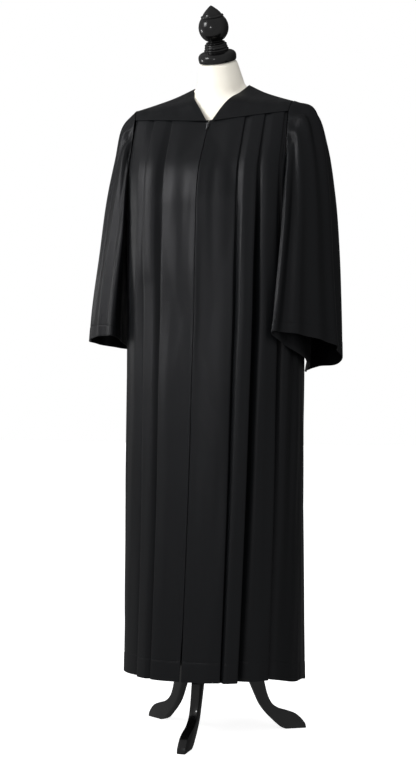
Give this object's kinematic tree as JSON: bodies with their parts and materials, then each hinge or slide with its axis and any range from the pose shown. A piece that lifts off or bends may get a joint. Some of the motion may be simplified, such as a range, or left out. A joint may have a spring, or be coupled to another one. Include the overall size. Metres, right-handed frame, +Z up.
{
  "type": "judge robe on a dress form",
  "caption": "Full-length judge robe with a V neck, yoke, pleated front and bell sleeves, displayed on a limbless dress form with a turned cap and a three-legged stand.",
  "frame": {"origin": "on the floor, in the plane of symmetry of the robe and within 5 mm of the middle of its bounding box", "axes": "+Z up, the front of the robe faces -Y, +X toward the wearer's left"},
  "size_m": [0.5977, 0.4586, 1.6694],
  "materials": {
    "cloth": "black robe cloth with a soft satin sheen",
    "tape": "black woven tape",
    "zip": "nickel-plated metal",
    "cover": "cream jersey stretched smooth",
    "lacquer": "turned and sawn wood in black lacquer"
  },
  "bodies": {
    "robe_and_form": {"front_left": "cloth", "front_right": "cloth", "back": "cloth", "front_yoke_left": "cloth", "front_yoke_right": "cloth", "back_yoke": "cloth", "sleeve_left": "cloth", "sleeve_right": "cloth", "zip_tape": "tape", "zip_slider": "zip", "form_torso": "cover", "neck_cap": "lacquer", "stand_pole": "lacquer", "stand_hub": "lacquer", "leg_front": "lacquer", "leg_left": "lacquer", "leg_right": "lacquer"},
    "zip_pull": {"zip_pull": "zip"}
  },
  "joints": [
    {"name": "zip_pull_swing", "type": "hinge", "parent": "robe_and_form", "child": "zip_pull", "pos_m": [0, -0.042, 1.39596], "axis": [-1, 0, 0], "range_deg": [0, 100]}
  ]
}
